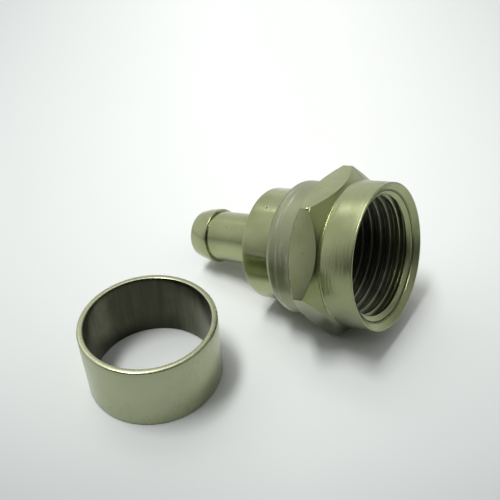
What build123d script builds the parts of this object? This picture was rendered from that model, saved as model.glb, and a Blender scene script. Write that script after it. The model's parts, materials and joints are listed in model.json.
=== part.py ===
from build123d import *
from math import atan2, cos, degrees, floor, radians, sin, tan
import os

# A crimp-on F connector lying on its side, with its separate crimp ring standing beside it.
# Lengths are in millimetres and angles in degrees.
# A station is a distance back along the connector's axis from the plane of the nut's mouth.

# Body: a flange inside the nut, the shoulder behind it, the neck and the barb, bored through.
# The flange reaches nearly as far out as the thread, because the jack's end bears on it.
flange_inset = 0.06
flange_thickness = 1.2
shoulder_step = 0.3325
shoulder_length = 2.61
shoulder_edge_break = 0.08
bore_diameter = 3.66
bore_edge_break = 0.12
neck_wall = 0.22
neck_length = 5.37
barb_step = 0.17
barb_land_length = 0.3
barb_length = 1.84
barb_bulge = 0.05
tip_wall = 0.07

# Coupling nut: a collar round the mouth, the hexagon, and a skirt rolled in behind the flange.
# The thread is 3/8-32, and the hexagon comes to 7/16 in, 11.11 across its flats. The thread's crest
# share puts its minor diameter at 8.76, the middle of what class 2B allows.
thread_diameter = 9.525
thread_pitch = 0.79375
thread_angle = 60
thread_root_share = 0.125
thread_crest_share = 0.32
thread_run_out = 0.6
thread_cutter_reach = 0.06
nut_length = 7.38
collar_wall = 0.66
collar_length = 2.4
hexagon_sides = 6
hexagon_turn = -1.1
flat_rise = 0.1325
corner_land_length = 0.71
front_chamfer_angle = 45
rear_chamfer_angle = 54
groove_width = 0.19
groove_depth = 0.09
rim_edge_break = 0.06
rim_width = 0.06
countersink_angle = 54
skirt_wall = 0.3675
lip_thickness = 0.45
rolled_length = 0.43
rolled_drop = 0.31
rolled_bulge = 0.045

# Clearances of the spinning nut on the body, along the axis and across it.
end_clearance = 0.05
flange_clearance = 0.05
lip_clearance = 0.08

# Crimp ring, and where its centre stands from the point under the mouth's centre.
ring_diameter = 9.83
ring_wall = 0.456
ring_height = 5.22
ring_edge_break = 0.07
ring_across = -12.9
ring_behind = -12.12

# Radii and stations that follow from the sizes above.
thread_radius = thread_diameter / 2
flank_slope = tan(radians(thread_angle / 2))
flank_width = thread_pitch * (1 - thread_root_share - thread_crest_share) / 2
thread_depth = flank_width / flank_slope
minor_radius = thread_radius - thread_depth
collar_radius = thread_radius + collar_wall
flat_radius = collar_radius + flat_rise
corner_radius = flat_radius / cos(radians(180 / hexagon_sides))
flange_radius = thread_radius - flange_inset
seat_radius = flange_radius + flange_clearance
skirt_radius = seat_radius + skirt_wall
shoulder_radius = flange_radius - shoulder_step
lip_radius = shoulder_radius + lip_clearance
bore_radius = bore_diameter / 2
neck_radius = bore_radius + neck_wall
barb_radius = neck_radius + barb_step
tip_radius = bore_radius + tip_wall
countersink_radius = collar_radius - rim_edge_break - rim_width

countersink_station = (countersink_radius - minor_radius) / tan(radians(countersink_angle))
front_chamfer_station = collar_length + groove_width
front_corner_rise = corner_radius - collar_radius
front_corner_station = front_chamfer_station + front_corner_rise / tan(radians(front_chamfer_angle))
rear_corner_station = front_corner_station + corner_land_length
rear_chamfer_length = (corner_radius - skirt_radius) / tan(radians(rear_chamfer_angle))
skirt_station = rear_corner_station + rear_chamfer_length
skirt_edge_station = nut_length - rolled_length
lip_station = nut_length - lip_thickness
flange_rear_station = lip_station - end_clearance
flange_front_station = flange_rear_station - flange_thickness
seat_station = flange_front_station - end_clearance
thread_turns = floor((seat_station - thread_run_out) / thread_pitch)
shoulder_station = nut_length + shoulder_length
barb_station = shoulder_station + neck_length
tip_station = barb_station + barb_length

# The connector lies on two edges: the shoulder's rear edge, and whichever edge of the nut the table
# meets first, the skirt's or the rear end of the flat that faces down.
shoulder_edge_station = shoulder_station - shoulder_edge_break
flat_rear_drop = corner_radius - flat_radius
flat_rear_station = rear_corner_station + flat_rear_drop / tan(radians(rear_chamfer_angle))


def lean_on(station, radius):
    return degrees(atan2(radius - shoulder_radius, shoulder_edge_station - station))


lean = max(lean_on(skirt_edge_station, skirt_radius), lean_on(flat_rear_station, flat_radius))
mouth_height = (
    shoulder_edge_station * sin(radians(lean)) + shoulder_radius * cos(radians(lean))
)


def section(points):
    # Points of a half section, given as (radius, station), in the plane that holds the axis.
    return [(radius, -station) for radius, station in points]


def barbed_body():
    front = section([
        (neck_radius, barb_station),
        (neck_radius, shoulder_station),
        (shoulder_radius - shoulder_edge_break, shoulder_station),
        (shoulder_radius, shoulder_edge_station),
        (shoulder_radius, flange_rear_station),
        (flange_radius, flange_rear_station),
        (flange_radius, flange_front_station),
        (bore_radius + bore_edge_break, flange_front_station),
        (bore_radius, flange_front_station + bore_edge_break),
        (bore_radius, tip_station),
        (tip_radius, tip_station),
    ])
    barb = section([
        (neck_radius, barb_station),
        (barb_radius, barb_station),
        (barb_radius, barb_station + barb_land_length),
    ])
    with BuildPart() as body:
        with BuildSketch(Plane.XZ):
            with BuildLine():
                Polyline(front)
                Polyline(barb)
                SagittaArc(barb[-1], front[-1], barb_bulge)
            make_face()
        revolve(axis=Axis.Z)
    return body.part


def nut_section():
    outside = section([
        (countersink_radius, 0),
        (collar_radius - rim_edge_break, 0),
        (collar_radius, rim_edge_break),
        (collar_radius, collar_length),
    ])
    groove = section([
        (collar_radius - groove_depth, collar_length + groove_width / 2),
        (collar_radius, front_chamfer_station),
    ])
    hexagon = section([
        (collar_radius, front_chamfer_station),
        (corner_radius, front_corner_station),
        (corner_radius, rear_corner_station),
        (skirt_radius, skirt_station),
        (skirt_radius, skirt_edge_station),
    ])
    inside = section([
        (skirt_radius - rolled_drop, nut_length),
        (lip_radius, nut_length),
        (lip_radius, lip_station),
        (seat_radius, lip_station),
        (seat_radius, seat_station),
        (minor_radius, seat_station),
        (minor_radius, countersink_station),
        (countersink_radius, 0),
    ])
    Polyline(outside)
    ThreePointArc(outside[-1], *groove)
    Polyline(hexagon)
    SagittaArc(hexagon[-1], inside[0], rolled_bulge)
    Polyline(inside)


def thread_turn():
    # The tool that cuts one turn of the groove, right-handed, from the plane of the mouth back.
    path = Helix(thread_pitch, thread_pitch, minor_radius, direction=(0, 0, -1))
    root = thread_root_share * thread_pitch / 2
    foot = root + flank_width + thread_cutter_reach * flank_slope
    groove = Polyline(
        (-thread_cutter_reach, -foot),
        (thread_depth, -root),
        (thread_depth, root),
        (-thread_cutter_reach, foot),
        close=True,
    )
    across = Plane(origin=path @ 0, x_dir=(-1, 0, 0), z_dir=path % 0)
    return sweep(across * make_face(groove), path, is_frenet=True)


def coupling_nut():
    with BuildPart() as nut:
        with BuildSketch(Plane.XZ):
            with BuildLine():
                nut_section()
            make_face()
        revolve(axis=Axis.Z)
        with BuildSketch():
            RegularPolygon(
                flat_radius,
                hexagon_sides,
                major_radius=False,
                rotation=180 / hexagon_sides + hexagon_turn,
            )
        extrude(amount=-nut_length, mode=Mode.INTERSECT)
    groove = thread_turn()
    threaded = nut.part
    for turn in range(thread_turns):
        threaded -= Pos(0, 0, -turn * thread_pitch) * groove
    return threaded


def crimp_ring():
    with BuildPart() as ring:
        with BuildSketch():
            Circle(ring_diameter / 2)
            Circle(ring_diameter / 2 - ring_wall, mode=Mode.SUBTRACT)
        extrude(amount=ring_height)
        chamfer(ring.edges().filter_by(GeomType.CIRCLE), ring_edge_break)
    return ring.part


lying = Pos(0, 0, mouth_height) * Rot(0, 90 - lean, 0)
pieces = {
    "coupling_nut": lying * coupling_nut(),
    "barbed_body": lying * barbed_body(),
    "crimp_ring": Pos(ring_behind, ring_across, 0) * crimp_ring(),
}

# The origin is the middle of the footprint of the whole set, on the table.
footprint = Compound(list(pieces.values())).bounding_box()
centring = Pos(-footprint.center().X, -footprint.center().Y, 0)

os.makedirs("parts", exist_ok=True)
for name, piece in pieces.items():
    export_step(centring * piece, f"parts/{name}.step")
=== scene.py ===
import json
from math import acos, atan2, cos, degrees, pi, radians, sin, sqrt, tan
import bpy
from mathutils import Matrix, Vector


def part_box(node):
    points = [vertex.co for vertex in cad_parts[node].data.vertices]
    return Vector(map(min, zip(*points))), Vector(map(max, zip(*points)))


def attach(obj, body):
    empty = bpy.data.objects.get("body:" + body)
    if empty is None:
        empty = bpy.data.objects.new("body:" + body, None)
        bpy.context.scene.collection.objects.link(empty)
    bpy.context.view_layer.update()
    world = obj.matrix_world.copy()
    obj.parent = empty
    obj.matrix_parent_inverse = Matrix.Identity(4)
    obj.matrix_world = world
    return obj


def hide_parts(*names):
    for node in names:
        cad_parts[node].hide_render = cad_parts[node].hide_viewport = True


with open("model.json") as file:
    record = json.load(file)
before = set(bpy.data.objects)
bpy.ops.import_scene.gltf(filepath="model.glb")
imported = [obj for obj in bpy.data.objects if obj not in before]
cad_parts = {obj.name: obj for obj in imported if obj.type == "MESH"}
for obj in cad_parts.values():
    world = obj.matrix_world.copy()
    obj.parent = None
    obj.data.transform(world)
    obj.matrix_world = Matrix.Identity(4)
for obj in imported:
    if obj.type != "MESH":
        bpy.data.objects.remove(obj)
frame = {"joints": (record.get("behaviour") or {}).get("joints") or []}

# A crimp-on coaxial connector lying on a white table, with its loose crimp ring standing beside it.
# Part sizes are in millimetres. A station is a distance back along the connector from the nut's mouth.
mm = 0.001
scene = bpy.context.scene
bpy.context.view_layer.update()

# Places that the frame gives.
nutSpin = frame["joints"][0]
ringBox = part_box("crimp_ring")
nutLength = 7.38
outOfMouth = Vector(nutSpin["axis"]).normalized()
mouth = Vector(nutSpin["pos_m"]) + outOfMouth * nutLength / 2 * mm
lean = atan2(outOfMouth.z, outOfMouth.x)  # how far the mouth tips up
alongConnector = Matrix.Translation(mouth) @ Matrix.Rotation(pi / 2 - lean, 4, "Y")
ringTop = Vector(((ringBox[0].x + ringBox[1].x) / 2, (ringBox[0].y + ringBox[1].y) / 2, ringBox[1].z))
onTable = Matrix.Translation(ringTop)


# Camera first, at the angle of the photograph.
cameraSettings = {
    "place": (23.87, -34.13, 41.81),  # mm
    "heading": 35.2,  # degrees left of +Y
    "down": 38.92,
    "roll": -3.33,
    "lens": 54.64,  # mm
    "sensor": 36,  # mm
    "nearest": 0.001,  # m
}


def addCamera(settings):
    camera = bpy.data.objects.new("camera", bpy.data.cameras.new("camera"))
    scene.collection.objects.link(camera)
    camera.data.sensor_width = settings["sensor"]
    camera.data.lens = settings["lens"]
    camera.data.clip_start = settings["nearest"]
    camera.matrix_world = (
        Matrix.Translation(Vector(settings["place"]) * mm)
        @ Matrix.Rotation(radians(settings["heading"]), 4, "Z")
        @ Matrix.Rotation(radians(90 - settings["down"]), 4, "X")
        @ Matrix.Rotation(radians(settings["roll"]), 4, "Z")
    )
    scene.camera = camera


addCamera(cameraSettings)
print("camera placed")


# Outlines: a piece is turned, so it is one closed outline of (radius, station) points for each angle.
def roundCorners(corners, steps=4):
    # Each corner is (radius, station, edge radius); every rounded one becomes steps + 1 points.
    made = []
    for index, (r, s, edge) in enumerate(corners):
        here = Vector((r, s))
        if not edge:
            made.append(here)
            continue
        before = Vector(corners[index - 1][:2]) - here
        after = Vector(corners[(index + 1) % len(corners)][:2]) - here
        reach = min(before.length, after.length) * 0.49  # two edges can share one short side
        before.normalize()
        after.normalize()
        half = acos(max(-1, min(1, before.dot(after)))) / 2
        # The floor of 0.01 keeps folded and straight corners from dividing by nothing.
        inset = min(edge / max(tan(half), 0.01), reach)
        bisector = (before + after).normalized()
        centre = here + bisector * inset / max(cos(half), 0.01)
        first = here + before * inset - centre
        last = here + after * inset - centre
        turn = atan2(first.cross(last), first.dot(last))
        for step in range(steps + 1):
            made.append(centre + Matrix.Rotation(turn * step / steps, 2) @ first)
    return [tuple(point) for point in made]


def evenly(start, end, count):
    # Points between two others, both left out.
    return [start + (end - start) * index / (count + 1) for index in range(1, count + 1)]


def swell(share):
    # 0 at both ends and 1 in the middle.
    return 4 * share * (1 - share)


def turnedPiece(name, place, angles, outlineAt):
    vertices = []
    for angle in angles:
        outline = outlineAt(angle)
        vertices += [(r * cos(angle), r * sin(angle), -s) for r, s in outline]
    rows = len(outline)
    columns = len(angles)
    faces = []
    for column in range(columns):
        here = column * rows
        there = (column + 1) % columns * rows
        for row in range(rows):
            below = (row + 1) % rows
            faces.append((here + row, here + below, there + below, there + row))
    mesh = bpy.data.meshes.new(name)
    mesh.from_pydata(vertices, [], faces)
    mesh.transform(place @ Matrix.Scale(mm, 4))
    mesh.shade_smooth()
    piece = bpy.data.objects.new(name, mesh)
    scene.collection.objects.link(piece)
    piece.modifiers.new("even shading", "WEIGHTED_NORMAL").keep_sharp = True
    print(name, "made:", len(faces) * 2, "triangles")
    return piece


def evenAngles(count):
    return [2 * pi * index / count for index in range(count)]


# Coupling nut: 3/8-32 thread, 7/16 in hexagon, a collar in front and a skirt rolled in behind.
nut = {
    "minorRadius": 4.381,
    "threadDepth": 0.3815,
    "threadAngle": 60,
    "rootWidth": 0.0992,
    "pitch": 0.79375,
    "threadTurns": 6,
    "threadRow": 0.031,  # length of thread between two rows of points
    "collarRadius": 5.4225,
    "collarLength": 2.4,
    "rimEdge": 0.05,
    "countersinkRadius": 5.3025,
    "countersinkAngle": 54,
    "countersinkEdge": 0.01,
    "turnedLineStation": 0.39,
    "turnedLineWidth": 0.14,
    "turnedLineDepth": 0.1,
    "grooveWidth": 0.19,
    "grooveDepth": 0.09,
    "grooveEdge": 0.02,
    "grooveRows": 5,
    "flatRadius": 5.555,
    "hexagonTurn": -1.1,
    "hexagonEdge": 0.05,
    "cornerEdge": 0.1,
    "cornerColumns": (-0.7, -0.5, -0.32, -0.16, 0, 0.16, 0.32, 0.5, 0.7),  # degrees from a corner
    "flatColumns": 36,
    "landLength": 0.71,
    "rearAngle": 54,
    "skirtRadius": 5.12,
    "skirtFootEdge": 0.06,
    "skirtEnd": 6.95,
    "skirtEdge": 0.03,
    "skirtRows": 8,
    "skirtInset": 0.08,  # from the skirt's foot to where its rows start
    "rolledInset": 0.05,  # from where they end to the rolled rim
    "rolledRadius": 4.81,
    "rolledBulge": 0.06,
    "rolledWay": (0.8, 0.6),  # the way the rolled rim bulges, outwards and back
    "rolledRows": 5,
    "lipRadius": 4.45,
    "lipStation": 6.93,
    "lipEdge": 0.04,
    "lipInnerEdge": 0.02,
    "seatRadius": 4.7525,
    "seatStation": 5.63,
}
hexagonHalf = 30  # degrees from the middle of a flat to a corner
cornerRadius = nut["flatRadius"] / cos(radians(hexagonHalf))
coneStation = nut["collarLength"] + nut["grooveWidth"]
frontCornerStation = coneStation + cornerRadius - nut["collarRadius"]
rearCornerStation = frontCornerStation + nut["landLength"]
rearSlope = tan(radians(nut["rearAngle"]))
skirtStation = rearCornerStation + (cornerRadius - nut["skirtRadius"]) / rearSlope
countersinkSlope = tan(radians(nut["countersinkAngle"]))
flankSlope = tan(radians(nut["threadAngle"] / 2))
threadRows = int(nut["seatStation"] / nut["threadRow"])


def threadRadiusAt(angle, station):
    # Right-handed, with flat crests and roots. The groove starts at the mouth's plane and ends after
    # whole turns, so its turns are numbered from 1.
    turn = station / nut["pitch"] + ((angle + pi) % (2 * pi)) / (2 * pi)
    nearest = min(max(round(turn), 1), nut["threadTurns"])
    fromGroove = abs(turn - nearest) * nut["pitch"]
    depth = nut["threadDepth"] - max(fromGroove - nut["rootWidth"] / 2, 0) / flankSlope
    return nut["minorRadius"] + max(depth, 0)


def hexagonRadiusAt(angle):
    # Distance from the axis to the hexagon's side, with its corners rounded.
    fromMiddle = (degrees(angle) - nut["hexagonTurn"]) % (2 * hexagonHalf)
    fromCorner = radians(abs(fromMiddle - hexagonHalf))
    flat = nut["flatRadius"] / cos(radians(hexagonHalf) - fromCorner)
    edge = nut["cornerEdge"]
    edgeCentre = (nut["flatRadius"] - edge) / cos(radians(hexagonHalf))
    across = edge * sin(radians(hexagonHalf))
    if fromCorner > atan2(across, edgeCentre + edge * cos(radians(hexagonHalf))):
        return flat
    return edgeCentre * cos(fromCorner) + sqrt(edge ** 2 - (edgeCentre * sin(fromCorner)) ** 2)


def countersinkAt(station):
    # A cone with a fine line turned into it just outside the thread.
    fromLine = abs(station - nut["turnedLineStation"]) / nut["turnedLineWidth"] * 2
    cone = nut["countersinkRadius"] - station * countersinkSlope
    return cone + nut["turnedLineDepth"] * max(1 - fromLine, 0)


def nutOutline(angle):
    hexagon = hexagonRadiusAt(angle)
    front = coneStation + hexagon - nut["collarRadius"]
    rear = rearCornerStation + (cornerRadius - hexagon) / rearSlope
    collar = nut["collarRadius"]
    grooveMiddle = nut["collarLength"] + nut["grooveWidth"] / 2
    grooveFloor = [
        (collar - nut["grooveDepth"] * sin(turn), grooveMiddle - nut["grooveWidth"] / 2 * cos(turn), 0)
        for turn in evenly(0, pi, nut["grooveRows"])
    ]
    skirtRows = evenly(
        skirtStation + nut["skirtInset"], nut["skirtEnd"] - nut["rolledInset"], nut["skirtRows"],
    )
    rolled = []
    outwards, back = nut["rolledWay"]
    for share in evenly(0, 1, nut["rolledRows"]):
        bulge = nut["rolledBulge"] * swell(share)
        rolled.append((
            nut["skirtRadius"] + (nut["rolledRadius"] - nut["skirtRadius"]) * share + bulge * outwards,
            nut["skirtEnd"] + (nutLength - nut["skirtEnd"]) * share + bulge * back,
            0,
        ))
    outside = [
        (nut["countersinkRadius"], 0, nut["countersinkEdge"]),
        (collar, 0, nut["rimEdge"]),
        (collar, nut["collarLength"], nut["grooveEdge"]),
        *grooveFloor,
        (collar, coneStation, nut["grooveEdge"]),
        (hexagon, front, nut["hexagonEdge"]),
        (hexagon, rear, nut["hexagonEdge"]),
        (nut["skirtRadius"], skirtStation, nut["skirtFootEdge"]),
        *((nut["skirtRadius"], station, 0) for station in skirtRows),
        (nut["skirtRadius"], nut["skirtEnd"], nut["skirtEdge"]),
        *rolled,
        (nut["rolledRadius"], nutLength, nut["lipEdge"]),
        (nut["lipRadius"], nutLength, nut["lipEdge"]),
        (nut["lipRadius"], nut["lipStation"], nut["lipInnerEdge"]),
        (nut["seatRadius"], nut["lipStation"], 0),
        (nut["seatRadius"], nut["seatStation"], 0),
    ]
    thread = []
    for station in evenly(nut["seatStation"], 0.0, threadRows):
        thread.append((max(threadRadiusAt(angle, station), countersinkAt(station)), station))
    return roundCorners(outside) + thread


def nutAngles():
    # Columns stand close together at the six corners, so that their edges are round.
    near = nut["cornerColumns"]
    offsets = [*near, *evenly(near[-1], near[0] + 2 * hexagonHalf, nut["flatColumns"])]
    angles = []
    for corner in range(6):
        middle = hexagonHalf + nut["hexagonTurn"] + corner * 2 * hexagonHalf
        angles += [radians(middle + offset) for offset in offsets]
    return angles


couplingNut = turnedPiece("turned_coupling_nut", alongConnector, nutAngles(), nutOutline)
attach(couplingNut, "nut")
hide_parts("coupling_nut")


# Body: flange inside the nut, shoulder, neck and barb, bored through.
body = {
    "flangeRadius": 4.7025,
    "flangeFront": 5.68,
    "flangeRear": 6.88,
    "flangeEdge": 0.05,
    "flangeRearEdge": 0.03,
    "shoulderRadius": 4.37,
    "shoulderStation": 9.99,
    "shoulderEdge": 0.09,
    "shoulderRows": (7.3, 9.8, 20),  # from, to and how many
    "neckRadius": 2.05,
    "neckFootEdge": 0.08,
    "neckRows": (10.1, 15.3, 30),
    "barbStation": 15.36,
    "barbRadius": 2.22,
    "barbEdge": 0.03,
    "barbLand": 0.3,
    "barbLandEdge": 0.1,
    "barbBulge": 0.05,
    "barbRows": 9,
    "tipRadius": 1.9,
    "tipStation": 17.2,
    "tipEdge": 0.04,
    "boreRadius": 1.83,
    "boreChamfer": 0.12,
    "boreEdge": 0.04,
    "fineEdge": 0.02,  # in the two inner corners, and at the tip's bore
    "columns": 240,
}


def bodyOutline(angle):
    landEnd = body["barbStation"] + body["barbLand"]
    barb = []
    for share in evenly(0, 1, body["barbRows"]):
        bulge = body["barbBulge"] * swell(share)
        barb.append((
            body["barbRadius"] + (body["tipRadius"] - body["barbRadius"]) * share + bulge,
            landEnd + (body["tipStation"] - landEnd) * share,
            0,
        ))
    corners = [
        (body["boreRadius"] + body["boreChamfer"], body["flangeFront"], body["boreEdge"]),
        (body["flangeRadius"], body["flangeFront"], body["flangeEdge"]),
        (body["flangeRadius"], body["flangeRear"], body["flangeRearEdge"]),
        (body["shoulderRadius"], body["flangeRear"], body["fineEdge"]),
        *((body["shoulderRadius"], station, 0) for station in evenly(*body["shoulderRows"])),
        (body["shoulderRadius"], body["shoulderStation"], body["shoulderEdge"]),
        (body["neckRadius"], body["shoulderStation"], body["neckFootEdge"]),
        *((body["neckRadius"], station, 0) for station in evenly(*body["neckRows"])),
        (body["neckRadius"], body["barbStation"], body["fineEdge"]),
        (body["barbRadius"], body["barbStation"], body["barbEdge"]),
        (body["barbRadius"], landEnd, body["barbLandEdge"]),
        *barb,
        (body["tipRadius"], body["tipStation"], body["tipEdge"]),
        (body["boreRadius"], body["tipStation"], body["fineEdge"]),
        (body["boreRadius"], body["flangeFront"] + body["boreChamfer"], body["boreEdge"]),
    ]
    return roundCorners(corners)


barbedBody = turnedPiece("turned_barbed_body", alongConnector, evenAngles(body["columns"]), bodyOutline)
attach(barbedBody, "connector_body")
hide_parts("barbed_body")


# Crimp ring: a cut length of thin tube with its burrs tumbled round.
ring = {
    "outerRadius": 4.915,
    "wall": 0.456,
    "height": 5.22,
    "outerEdge": 0.13,
    "innerEdge": 0.1,
    "rowsInset": 0.3,
    "rows": 24,
    "columns": 240,
}


def ringOutline(angle):
    outer = ring["outerRadius"]
    inner = outer - ring["wall"]
    rows = evenly(ring["rowsInset"], ring["height"] - ring["rowsInset"], ring["rows"])
    corners = [
        (inner, 0, ring["innerEdge"]),
        (outer, 0, ring["outerEdge"]),
        *((outer, station, 0) for station in rows),
        (outer, ring["height"], ring["outerEdge"]),
        (inner, ring["height"], ring["innerEdge"]),
        *((inner, station, 0) for station in reversed(rows)),
    ]
    return roundCorners(corners)


crimpRing = turnedPiece("cut_crimp_ring", onTable, evenAngles(ring["columns"]), ringOutline)
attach(crimpRing, "connector_body")
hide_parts("crimp_ring")


# Materials
def linear(hexColour):
    channels = [int(hexColour[index:index + 2], 16) / 255 for index in (1, 3, 5)]
    return tuple(c / 12.92 if c <= 0.04045 else ((c + 0.055) / 1.055) ** 2.4 for c in channels) + (1,)


def addNode(tree, kind, settings=None, **inputs):
    # Adds a node with its settings. An input is a value or another node's output, and its name is
    # the socket's, or slot and a number where the socket has no name of its own.
    node = tree.nodes.new(kind)
    for key, value in (settings or {}).items():
        setattr(node, key, value)
    for key, value in inputs.items():
        socket = node.inputs[int(key[4:]) if key.startswith("slot") else key.replace("_", " ")]
        if isinstance(value, bpy.types.NodeSocket):
            tree.links.new(value, socket)
        else:
            socket.default_value = value
    return node


def newTree(name):
    material = bpy.data.materials.new(name)
    material.use_nodes = True
    material.node_tree.nodes.clear()
    return material, material.node_tree


# Nickel-plated brass: a warm grey-green mirror, only slightly satin, clouded where the plating is thin,
# pitted in a few places, and dull inside, with painted shade on the inside walls. Turning leaves fine
# lines round a piece. The real ones are too fine to show, so these are drawn coarser.
# Levels are the values of a noise between which a mark comes in. A side has its middle in degrees round
# the axis, from below towards +Y, the cosines of the angles from there where it starts and is full, and
# its share of the colour there.
turnedNickel = {
    "plating": "#A0A67F",
    "thinPlating": "#92976F",
    "cloudSize": 3.5,  # mm
    "cloudLevels": (0.42, 0.66),
    "pits": "#55574A",
    "pitSize": 0.2,  # mm
    "pitLevels": (0.72, 0.78),
    "pitShare": 0.7,
    "rubbedEdge": "#B4B8A0",
    "edgeWidth": 0.08,  # mm
    "edgeCosines": (0.99, 0.9),  # between the rounded surface and the plain one
    "rubbedLevels": (0.35, 0.6),
    "grainSize": 1 / 3,  # mm
    "grainDepth": 0.001,  # mm
    "lineSpacing": 0.35,  # mm
    "lineDepth": 0.002,  # mm
    "lineChanges": 1.0,  # round one turn
    "roughness": 0.15,
    "hazyRoughness": 0.25,
    "hazeLevels": (0.15, 0.4),
    "edgeRoughness": 0.3,
    # The inside colours of the body and the ring are darker than their plating: painted shade in the bores.
    "inside": "#7C7F6A",
    "thinInside": "#5C5E50",
    "stainLevels": (0.4, 0.62),
    "insideRoughness": 0.28,
    "insideMetal": 0.96,  # the rest is a dull film
    "insideFade": 0.3,  # mm
    "insideBlur": 0.05,  # mm
    # Painted shade on one side of the inside.
    "shadeSideInside": {"middle": 0, "from": 0.2, "full": 1.0, "share": 0.85, "colour": "#2E2F26"},
}
nutNickel = {
    **turnedNickel,
    "inside": "#B4B6A0",
    "thinInside": "#8C8E7A",
    "insideRadius": 4.85,  # mm
    "insideFrom": 0.5,  # mm
    "insideFade": 2.0,
    "insideRoughness": 0.36,
    "insideMetal": 0.7,
    "shadeSideInside": {"middle": 58, "from": 0.5, "full": 1.0, "share": 0.85, "colour": "#4A4B41"},
    # Painted shade on the outside's lower side, towards -Y.
    "shadeSideOutside": {"middle": -44, "from": 0.5, "full": 0.97, "share": 0.55, "colour": "#55574A"},
    "shadeSideOutsideRadius": 5.38,  # mm, dark only further out
    "yellowSide": {"middle": -135, "from": 0.5, "full": 0.95, "share": 1.0, "colour": "#949C68"},
    "yellowBlur": 0.03,  # mm
    # Painted shade in the line turned into the mouth.
    "lineShade": "#3A3B2E",
    "lineShadeRadius": 4.79,  # mm
    "lineShadeBlur": 0.04,  # mm
    "lineShadeDepth": 0.5,  # mm
    "marked": "#93977A",
    "streaks": "#BCBEB0",
    "streakLevels": (0.54, 0.64),
    "markedRadius": 5.3,  # mm
    "markedFrom": 4.0,  # mm
    "markedRoughness": 0.37,
    "markedLineDepth": 0.012,  # mm
    "finishedRadius": 5.5,  # mm
    "finishedRoughness": 0.27,
    "markBlur": 0.04,  # mm
    "coneBlur": 0.05,  # mm
    "strokeSpacing": 0.18,  # mm
    "strokeChanges": 2.7,  # round one turn
    "strokeDepth": 0.016,  # mm
    "anisotropy": 0.5,
    "dent": (-5.54, -3.1, -3.62),  # mm from the mouth's centre: down, towards +Y and forwards
    "dentSize": 0.2,  # mm
    "dentDepth": 0.06,  # mm
}
bodyNickel = {
    **turnedNickel,
    "roughness": 0.17,
    "insideRadius": 1.88,
    "insideFrom": 0.0,
    # The flange under the nut takes the darker inside colour: painted shade.
    "coveredUpTo": 6.9,  # mm, the flange under the nut
    "shadeSideInside": {"middle": 0, "from": 0.2, "full": 1.0, "share": 0.85, "colour": "#55564A"},
    "dent": (-4.16, -1.34, -8.71),
    "dentSize": 0.12,
    "dentDepth": 0.06,
}
# The ring is tube that was drawn, cut and tumbled: paler and more even, with burrs left on its rims.
ringNickel = {
    **turnedNickel,
    "plating": "#A9AD8E",
    "thinPlating": "#A0A485",
    "pits": "#94987C",
    "rubbedEdge": "#D6DA9A",
    "grainDepth": 0.0004,
    "lineSpacing": 7.0,
    "lineDepth": 0.0001,
    "lineChanges": 8,
    "roughness": 0.24,
    "hazyRoughness": 0.3,
    # The ring's darker inside colour is painted shade in the tube.
    "inside": "#84866E",
    "thinInside": "#6A6C58",
    "insideRadius": 4.52,
    "insideFrom": -1.0,  # above the top, so that the whole wall is inside
    "insideRoughness": 0.22,
    "shadeSideInside": {"middle": 130, "from": 0.2, "full": 1.0, "share": 0.85, "colour": "#2E2F26"},
}


def spotOn(tree, place):
    # Where a point lies on a turned piece: in millimetres with the piece's axis along Z, its distance
    # from that axis, and the way it faces.
    where = addNode(tree, "ShaderNodeTexCoord").outputs["Object"]
    onAxis = addNode(
        tree, "ShaderNodeMapping", {"vector_type": "TEXTURE"},
        Vector=where, Location=place.translation, Rotation=place.to_euler(), Scale=(mm, mm, mm),
    ).outputs[0]
    split = addNode(tree, "ShaderNodeSeparateXYZ", Vector=onAxis).outputs
    spoke = addNode(tree, "ShaderNodeCombineXYZ", X=split["X"], Y=split["Y"]).outputs[0]
    radius = addNode(tree, "ShaderNodeVectorMath", {"operation": "LENGTH"}, slot0=spoke).outputs["Value"]
    facing = addNode(tree, "ShaderNodeVectorMath", {"operation": "NORMALIZE"}, slot0=spoke).outputs[0]
    return {"place": onAxis, "height": split["Z"], "radius": radius, "facing": facing}


def turnedLines(tree, spot, look):
    # Noise drawn out round the piece: fast along the axis and outwards, slow round it.
    roundSlowly = addNode(
        tree, "ShaderNodeVectorMath", {"operation": "SCALE"},
        slot0=spot["facing"], Scale=look["lineChanges"],
    ).outputs[0]
    along = addNode(
        tree, "ShaderNodeMath", {"operation": "DIVIDE"}, slot0=spot["height"], slot1=look["lineSpacing"],
    ).outputs[0]
    outwards = addNode(
        tree, "ShaderNodeMath", {"operation": "DIVIDE"}, slot0=spot["radius"], slot1=look["lineSpacing"],
    ).outputs[0]
    raised = addNode(tree, "ShaderNodeCombineXYZ", Z=along).outputs[0]
    vector = addNode(
        tree, "ShaderNodeVectorMath", {"operation": "ADD"}, slot0=roundSlowly, slot1=raised,
    ).outputs[0]
    return addNode(
        tree, "ShaderNodeTexNoise", {"noise_dimensions": "4D"},
        Vector=vector, W=outwards, Scale=1.0, Detail=4.0, Roughness=0.6,
    ).outputs[0]


def sideMask(tree, spot, side, clouds=None):
    # One side of a piece. Clouds make its border uneven.
    middle = radians(side["middle"])
    turned = addNode(
        tree, "ShaderNodeVectorMath", {"operation": "DOT_PRODUCT"},
        slot0=spot["facing"], slot1=(cos(middle), sin(middle), 0),
    ).outputs["Value"]
    if clouds:
        # The noise is 0.5 on average, so this moves the border as much either way.
        uneven = addNode(
            tree, "ShaderNodeMath", {"operation": "MULTIPLY_ADD"}, slot0=clouds, slot1=0.8, slot2=-0.4,
        ).outputs[0]
        turned = addNode(tree, "ShaderNodeMath", {"operation": "ADD"}, slot0=turned, slot1=uneven).outputs[0]
    return addNode(
        tree, "ShaderNodeMapRange", {"interpolation_type": "SMOOTHSTEP"},
        Value=turned, From_Min=side["from"], From_Max=side["full"], To_Max=side["share"],
    ).outputs[0]


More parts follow.
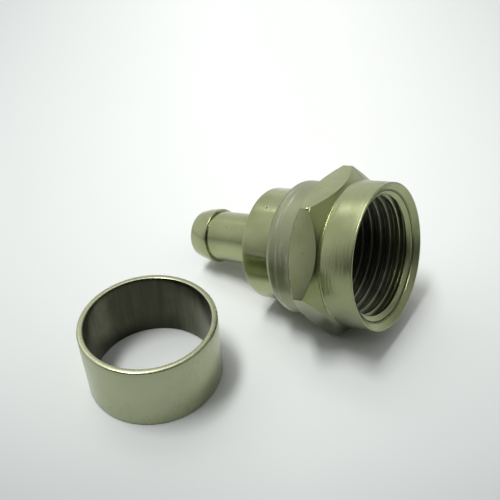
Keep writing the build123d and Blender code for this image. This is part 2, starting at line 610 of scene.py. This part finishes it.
def rubbedMask(tree, grain, look):
    # Edges rubbed bright, unevenly, by the other connectors in the bag.
    rounded = addNode(tree, "ShaderNodeBevel", {"samples": 6}, Radius=look["edgeWidth"] * mm).outputs[0]
    plain = addNode(tree, "ShaderNodeNewGeometry").outputs["Normal"]
    flatness = addNode(
        tree, "ShaderNodeVectorMath", {"operation": "DOT_PRODUCT"}, slot0=rounded, slot1=plain,
    ).outputs["Value"]
    start, full = look["edgeCosines"]
    atEdge = addNode(tree, "ShaderNodeMapRange", Value=flatness, From_Min=start, From_Max=full).outputs[0]
    start, full = look["rubbedLevels"]
    uneven = addNode(tree, "ShaderNodeMapRange", Value=grain, From_Min=start, From_Max=full).outputs[0]
    return addNode(tree, "ShaderNodeMath", {"operation": "MULTIPLY"}, slot0=atEdge, slot1=uneven).outputs[0]


def insideMask(tree, spot, look):
    # Nearer to the axis than the inside wall and further in than the mouth, or covered by the nut.
    nearAxis = addNode(
        tree, "ShaderNodeMapRange", {"interpolation_type": "SMOOTHSTEP"}, Value=spot["radius"],
        From_Min=look["insideRadius"] + look["insideBlur"],
        From_Max=look["insideRadius"] - look["insideBlur"],
    ).outputs[0]
    farIn = addNode(
        tree, "ShaderNodeMapRange", {"interpolation_type": "SMOOTHSTEP"}, Value=spot["height"],
        From_Min=-look["insideFrom"], From_Max=-look["insideFrom"] - look["insideFade"],
    ).outputs[0]
    inside = addNode(
        tree, "ShaderNodeMath", {"operation": "MULTIPLY"}, slot0=nearAxis, slot1=farIn,
    ).outputs[0]
    if "coveredUpTo" not in look:
        return inside
    covered = addNode(
        tree, "ShaderNodeMath", {"operation": "GREATER_THAN"},
        slot0=spot["height"], slot1=-look["coveredUpTo"],
    ).outputs[0]
    return addNode(tree, "ShaderNodeMath", {"operation": "MAXIMUM"}, slot0=inside, slot1=covered).outputs[0]


def shadeSideOutsideMask(tree, spot, look):
    # Painted shade: the outside darkened a little on the side that faces down and towards -Y.
    darkened = sideMask(tree, spot, look["shadeSideOutside"])
    farOut = addNode(
        tree, "ShaderNodeMath", {"operation": "GREATER_THAN"},
        slot0=spot["radius"], slot1=look["shadeSideOutsideRadius"],
    ).outputs[0]
    return addNode(
        tree, "ShaderNodeMath", {"operation": "MULTIPLY"}, slot0=darkened, slot1=farOut,
    ).outputs[0]


def frontConeMask(tree, spot, look):
    # The front cone of the hexagon is tinted darker and yellower on its upper side, towards -Y.
    downCone = addNode(
        tree, "ShaderNodeMath", {"operation": "ADD"}, slot0=spot["radius"], slot1=spot["height"],
    ).outputs[0]
    onCone = addNode(
        tree, "ShaderNodeMath", {"operation": "COMPARE"},
        slot0=downCone, slot1=nut["collarRadius"] - coneStation, slot2=look["yellowBlur"],
    ).outputs[0]
    yellowed = sideMask(tree, spot, look["yellowSide"])
    return addNode(
        tree, "ShaderNodeMath", {"operation": "MULTIPLY"}, slot0=onCone, slot1=yellowed,
    ).outputs[0]


def lineShadeMask(tree, spot, look):
    # Painted shade in the line turned into the mouth.
    inLine = addNode(
        tree, "ShaderNodeMath", {"operation": "COMPARE"},
        slot0=spot["radius"], slot1=look["lineShadeRadius"], slot2=look["lineShadeBlur"],
    ).outputs[0]
    atMouth = addNode(
        tree, "ShaderNodeMath", {"operation": "GREATER_THAN"},
        slot0=spot["height"], slot1=-look["lineShadeDepth"],
    ).outputs[0]
    return addNode(tree, "ShaderNodeMath", {"operation": "MULTIPLY"}, slot0=inLine, slot1=atMouth).outputs[0]


def markedMask(tree, spot, outside, look):
    # Streaked by the rolling tool: the skirt, and the cone between it and the hexagon.
    thin = addNode(
        tree, "ShaderNodeMapRange", Value=spot["radius"],
        From_Min=look["markedRadius"] + look["markBlur"], From_Max=look["markedRadius"] - look["markBlur"],
    ).outputs[0]
    rearwards = addNode(
        tree, "ShaderNodeMath", {"operation": "LESS_THAN"}, slot0=spot["height"], slot1=-look["markedFrom"],
    ).outputs[0]
    skirt = addNode(
        tree, "ShaderNodeMath", {"operation": "MULTIPLY"}, slot0=thin, slot1=rearwards,
    ).outputs[0]
    upCone = addNode(
        tree, "ShaderNodeMath", {"operation": "MULTIPLY_ADD"},
        slot0=spot["height"], slot1=-rearSlope, slot2=spot["radius"],
    ).outputs[0]
    onCone = addNode(
        tree, "ShaderNodeMath", {"operation": "COMPARE"},
        slot0=upCone, slot1=cornerRadius + rearCornerStation * rearSlope, slot2=look["coneBlur"],
    ).outputs[0]
    turned = addNode(tree, "ShaderNodeMath", {"operation": "MAXIMUM"}, slot0=skirt, slot1=onCone).outputs[0]
    return addNode(tree, "ShaderNodeMath", {"operation": "MULTIPLY"}, slot0=turned, slot1=outside).outputs[0]


def finishedMask(tree, spot, outside, look):
    # The collar was finished with a fine cut, which is duller than the rolled flats.
    collar = addNode(
        tree, "ShaderNodeMapRange", Value=spot["radius"],
        From_Min=look["finishedRadius"] + look["markBlur"],
        From_Max=look["finishedRadius"] - look["markBlur"],
    ).outputs[0]
    return addNode(tree, "ShaderNodeMath", {"operation": "MULTIPLY"}, slot0=collar, slot1=outside).outputs[0]


def toolStrokes(tree, spot, finished, look):
    # Short strokes of the tool, round the collar.
    roundSlowly = addNode(
        tree, "ShaderNodeVectorMath", {"operation": "SCALE"},
        slot0=spot["facing"], Scale=look["strokeChanges"],
    ).outputs[0]
    along = addNode(
        tree, "ShaderNodeMath", {"operation": "DIVIDE"}, slot0=spot["height"], slot1=look["strokeSpacing"],
    ).outputs[0]
    strokes = addNode(
        tree, "ShaderNodeTexNoise", {"noise_dimensions": "4D"},
        Vector=roundSlowly, W=along, Scale=1.0, Detail=1.0,
    ).outputs[0]
    return addNode(
        tree, "ShaderNodeMath", {"operation": "MULTIPLY"}, slot0=strokes, slot1=finished,
    ).outputs[0]


def roundTangent(tree, spot, place):
    # Gloss spreads along the piece, across the lines that run round it.
    roundAxis = addNode(
        tree, "ShaderNodeVectorMath", {"operation": "CROSS_PRODUCT"}, slot0=(0, 0, 1), slot1=spot["facing"],
    ).outputs[0]
    roundPiece = addNode(
        tree, "ShaderNodeMapping", {"vector_type": "VECTOR"}, Vector=roundAxis, Rotation=place.to_euler(),
    ).outputs[0]
    return addNode(
        tree, "ShaderNodeVectorTransform",
        {"vector_type": "VECTOR", "convert_from": "OBJECT", "convert_to": "WORLD"}, Vector=roundPiece,
    ).outputs[0]


def platedBrass(name, place, look):
    material, tree = newTree(name)
    spot = spotOn(tree, place)
    lines = turnedLines(tree, spot, look)
    clouds = addNode(
        tree, "ShaderNodeTexNoise",
        Vector=spot["place"], Scale=1 / look["cloudSize"], Detail=4.0, Roughness=0.55,
    ).outputs[0]
    grain = addNode(
        tree, "ShaderNodeTexNoise", Vector=spot["place"], Scale=1 / look["grainSize"], Detail=3.0,
    ).outputs[0]
    rubbed = rubbedMask(tree, grain, look)
    inside = insideMask(tree, spot, look)

    # Clouds of thin plating on the outside, and stains inside, with painted shade on one side of the inside.
    start, full = look["cloudLevels"]
    thin = addNode(tree, "ShaderNodeMapRange", Value=clouds, From_Min=start, From_Max=full).outputs[0]
    colour = addNode(
        tree, "ShaderNodeMix", {"data_type": "RGBA"},
        slot0=thin, slot6=linear(look["plating"]), slot7=linear(look["thinPlating"]),
    ).outputs[2]
    start, full = look["stainLevels"]
    stained = addNode(tree, "ShaderNodeMapRange", Value=lines, From_Min=start, From_Max=full).outputs[0]
    insideColour = addNode(
        tree, "ShaderNodeMix", {"data_type": "RGBA"},
        slot0=stained, slot6=linear(look["inside"]), slot7=linear(look["thinInside"]),
    ).outputs[2]
    insideColour = addNode(
        tree, "ShaderNodeMix", {"data_type": "RGBA"}, slot0=sideMask(tree, spot, look["shadeSideInside"], clouds),
        slot6=insideColour, slot7=linear(look["shadeSideInside"]["colour"]),
    ).outputs[2]
    pits = addNode(
        tree, "ShaderNodeTexNoise", Vector=spot["place"], Scale=1 / look["pitSize"], Detail=1.0,
    ).outputs[0]
    start, full = look["pitLevels"]
    pitted = addNode(
        tree, "ShaderNodeMapRange", Value=pits, From_Min=start, From_Max=full, To_Max=look["pitShare"],
    ).outputs[0]

    # Haze comes and goes with the turned lines and the clouds.
    haze = addNode(tree, "ShaderNodeMath", {"operation": "MULTIPLY"}, slot0=lines, slot1=clouds).outputs[0]
    start, full = look["hazeLevels"]
    rough = addNode(
        tree, "ShaderNodeMapRange", Value=haze, From_Min=start, From_Max=full,
        To_Min=look["roughness"], To_Max=look["hazyRoughness"],
    ).outputs[0]

    # What lies over the plating, from the lowest up, and how rough and how deep it is.
    colourLayers = [(pitted, linear(look["pits"]))]
    roughLayers = [(rubbed, look["edgeRoughness"]), (inside, look["insideRoughness"])]
    lineDepth = look["lineDepth"] * mm
    bumps = [(grain, look["grainDepth"])]
    gloss = {}
    if "shadeSideOutside" in look:
        colourLayers.append((shadeSideOutsideMask(tree, spot, look), linear(look["shadeSideOutside"]["colour"])))
        colourLayers.append((frontConeMask(tree, spot, look), linear(look["yellowSide"]["colour"])))
    colourLayers += [(rubbed, linear(look["rubbedEdge"])), (inside, insideColour)]
    if "marked" in look:
        outside = addNode(
            tree, "ShaderNodeMath", {"operation": "SUBTRACT"}, slot0=1.0, slot1=inside,
        ).outputs[0]
        marked = markedMask(tree, spot, outside, look)
        finished = finishedMask(tree, spot, outside, look)
        start, full = look["streakLevels"]
        streaks = addNode(tree, "ShaderNodeMapRange", Value=lines, From_Min=start, From_Max=full).outputs[0]
        streaked = addNode(
            tree, "ShaderNodeMath", {"operation": "MULTIPLY"}, slot0=streaks, slot1=marked,
        ).outputs[0]
        colourLayers.append((lineShadeMask(tree, spot, look), linear(look["lineShade"])))
        colourLayers.append((marked, linear(look["marked"])))
        colourLayers.append((streaked, linear(look["streaks"])))
        lowest = [(finished, look["finishedRoughness"]), (marked, look["markedRoughness"])]
        roughLayers = lowest + roughLayers
        lineDepth = addNode(
            tree, "ShaderNodeMapRange", Value=marked, To_Min=lineDepth, To_Max=look["markedLineDepth"] * mm,
        ).outputs[0]
        bumps.append((toolStrokes(tree, spot, finished, look), look["strokeDepth"]))
        gloss = {"Anisotropic": look["anisotropy"], "Tangent": roundTangent(tree, spot, place)}
    if "dent" in look:
        # A small dent from handling.
        fromDent = addNode(
            tree, "ShaderNodeVectorMath", {"operation": "DISTANCE"}, slot0=spot["place"], slot1=look["dent"],
        ).outputs["Value"]
        dented = addNode(
            tree, "ShaderNodeMapRange", {"interpolation_type": "SMOOTHSTEP"},
            Value=fromDent, From_Min=look["dentSize"], From_Max=0.0,
        ).outputs[0]
        colourLayers.append((dented, linear(look["pits"])))
        bumps.append((dented, -look["dentDepth"]))

    for mask, over in colourLayers:
        colour = addNode(
            tree, "ShaderNodeMix", {"data_type": "RGBA"}, slot0=mask, slot6=colour, slot7=over,
        ).outputs[2]
    for mask, over in roughLayers:
        rough = addNode(tree, "ShaderNodeMix", slot0=mask, slot2=rough, slot3=over).outputs[0]
    bump = addNode(tree, "ShaderNodeBump", Height=lines, Distance=lineDepth).outputs[0]
    for height, depth in bumps:
        bump = addNode(tree, "ShaderNodeBump", Height=height, Distance=depth * mm, Normal=bump).outputs[0]
    metal = addNode(
        tree, "ShaderNodeMapRange", Value=inside, To_Min=1.0, To_Max=look["insideMetal"],
    ).outputs[0]
    shader = addNode(
        tree, "ShaderNodeBsdfPrincipled",
        Base_Color=colour, Metallic=metal, Roughness=rough, Normal=bump, **gloss,
    ).outputs[0]
    addNode(tree, "ShaderNodeOutputMaterial", Surface=shader)
    return material


couplingNut.data.materials.append(platedBrass("nickel_plated_brass_nut", alongConnector, nutNickel))
barbedBody.data.materials.append(platedBrass("nickel_plated_brass_body", alongConnector, bodyNickel))
crimpRing.data.materials.append(platedBrass("nickel_plated_brass_ring", onTable, ringNickel))
print("materials made")


# Table: a matt white laminate with a fine grain, with a painted pool of light: brightest behind the
# connector and greyer all round.
table = {
    "size": 2.0,  # m
    "sheet": "#ECEFEC",
    "shadeSheet": "#B7BCBB",
    "poolMiddle": (-66.5, 104.0),  # mm
    "poolTurn": 33.8,  # degrees
    "poolReach": (107.7, 157.7),  # mm
    "poolFades": (1.26, 8.95),  # evenly to its sides, and late but fast towards the viewer
    "poolLevels": (0.042, 0.404),
    "roughness": 0.7,
    "specular": 0.2,
    "grainScale": 900.0,  # in a metre
    "grainDepth": 0.01,  # mm
    "grainStrength": 0.3,
}


def addTable(settings):
    half = settings["size"] / 2
    corners = [(-half, -half, 0), (half, -half, 0), (half, half, 0), (-half, half, 0)]
    mesh = bpy.data.meshes.new("table")
    mesh.from_pydata(corners, [], [(0, 1, 2, 3)])
    top = bpy.data.objects.new("table", mesh)
    scene.collection.objects.link(top)
    material, tree = newTree("matt_white_laminate")
    where = addNode(tree, "ShaderNodeTexCoord").outputs["Object"]
    # The pool of light is painted into the colour: brightest at its middle, greyer outwards.
    inPool = addNode(
        tree, "ShaderNodeMapping", {"vector_type": "TEXTURE"}, Vector=where,
        Location=(*(value * mm for value in settings["poolMiddle"]), 0),
        Rotation=(0, 0, radians(settings["poolTurn"])),
        Scale=(*(value * mm for value in settings["poolReach"]), 1),
    ).outputs[0]
    fromMiddle = addNode(tree, "ShaderNodeVectorMath", {"operation": "ABSOLUTE"}, slot0=inPool).outputs[0]
    split = addNode(tree, "ShaderNodeSeparateXYZ", Vector=fromMiddle).outputs
    across, along = (
        addNode(tree, "ShaderNodeMath", {"operation": "POWER"}, slot0=split[way], slot1=fade).outputs[0]
        for way, fade in zip("XY", settings["poolFades"])
    )
    faded = addNode(tree, "ShaderNodeMath", {"operation": "ADD"}, slot0=across, slot1=along).outputs[0]
    start, full = settings["poolLevels"]
    paintedFalloff = addNode(tree, "ShaderNodeMapRange", Value=faded, From_Min=start, From_Max=full).outputs[0]
    colour = addNode(
        tree, "ShaderNodeMix", {"data_type": "RGBA"},
        slot0=paintedFalloff, slot6=linear(settings["sheet"]), slot7=linear(settings["shadeSheet"]),
    ).outputs[2]
    grain = addNode(
        tree, "ShaderNodeTexNoise", Vector=where, Scale=settings["grainScale"], Detail=3.0,
    ).outputs[0]
    bump = addNode(
        tree, "ShaderNodeBump",
        Height=grain, Distance=settings["grainDepth"] * mm, Strength=settings["grainStrength"],
    ).outputs[0]
    shader = addNode(
        tree, "ShaderNodeBsdfPrincipled", Base_Color=colour, Roughness=settings["roughness"], Normal=bump,
        Specular_IOR_Level=settings["specular"],
    ).outputs[0]
    addNode(tree, "ShaderNodeOutputMaterial", Surface=shader)
    mesh.materials.append(material)


addTable(table)


# Light: a long soft lamp high on the left, weak ones beside it, and a dim room whose left wall, back
# wall and right side are pale. Directions are degrees round from the viewer's side of the world, -Y,
# towards +X, and degrees up. A panel is full to a quarter of its reach, in degrees from its middle,
# and fades out over the rest.
room = {
    "panels": {
        "leftWall": {"around": -94, "above": 20, "reach": 77, "level": 0.83},
        "backWall": {"around": 179, "above": -10, "reach": 62, "level": 0.73},
        "rightWall": {"around": 112, "above": 47, "reach": 43, "level": 0.47},
    },
    "dimLevel": 0.045,
}
lamps = {
    "tubeLamp": {"around": -60, "above": 74, "size": (0.44, 0.165), "power": 6.4},
    "leftLamp": {"around": -127, "above": 62, "size": (0.32, 0.32), "power": 1.05},
    "windowPane": {"around": -110, "above": 44, "size": (0.18, 0.12), "power": 0.18},
    "frontLamp": {"around": 19, "above": 68, "size": (0.4, 0.4), "power": 0.76},
}
lampDistance = 1.0


def towardsSky(around, above):
    around = radians(around)
    above = radians(above)
    return Vector((sin(around) * cos(above), -cos(around) * cos(above), sin(above)))


def addRoom(settings):
    world = bpy.data.worlds.new("room")
    scene.world = world
    world.use_nodes = True
    tree = world.node_tree
    tree.nodes.clear()
    towards = addNode(tree, "ShaderNodeTexCoord").outputs["Generated"]
    level = settings["dimLevel"]
    for panel in settings["panels"].values():
        nearness = addNode(
            tree, "ShaderNodeVectorMath", {"operation": "DOT_PRODUCT"},
            slot0=towards, slot1=towardsSky(panel["around"], panel["above"]),
        ).outputs["Value"]
        glow = addNode(
            tree, "ShaderNodeMapRange", {"interpolation_type": "SMOOTHSTEP"}, Value=nearness,
            From_Min=cos(radians(panel["reach"])), From_Max=cos(radians(panel["reach"] / 4)),
            To_Max=panel["level"],
        ).outputs[0]
        level = addNode(tree, "ShaderNodeMath", {"operation": "ADD"}, slot0=glow, slot1=level).outputs[0]
    lit = addNode(tree, "ShaderNodeBackground", Color=(1, 1, 1, 1), Strength=level).outputs[0]
    seen = addNode(tree, "ShaderNodeBackground", Color=(1, 1, 1, 1), Strength=1.0).outputs[0]
    isCamera = addNode(tree, "ShaderNodeLightPath").outputs["Is Camera Ray"]
    shown = addNode(tree, "ShaderNodeMixShader", slot0=isCamera, slot1=lit, slot2=seen).outputs[0]
    addNode(tree, "ShaderNodeOutputWorld", Surface=shown)


def addLamps(settings):
    for name, lamp in settings.items():
        light = bpy.data.lights.new(name, "AREA")
        light.shape = "RECTANGLE"
        light.size, light.size_y = lamp["size"]
        light.energy = lamp["power"]
        holder = bpy.data.objects.new(name, light)
        scene.collection.objects.link(holder)
        towards = towardsSky(lamp["around"], lamp["above"])
        holder.location = towards * lampDistance
        holder.rotation_euler = (-towards).to_track_quat("-Z", "Y").to_euler()
        holder.visible_camera = False


addRoom(room)
addLamps(lamps)
scene.view_settings.view_transform = "Standard"
print("table, room and lamps made")
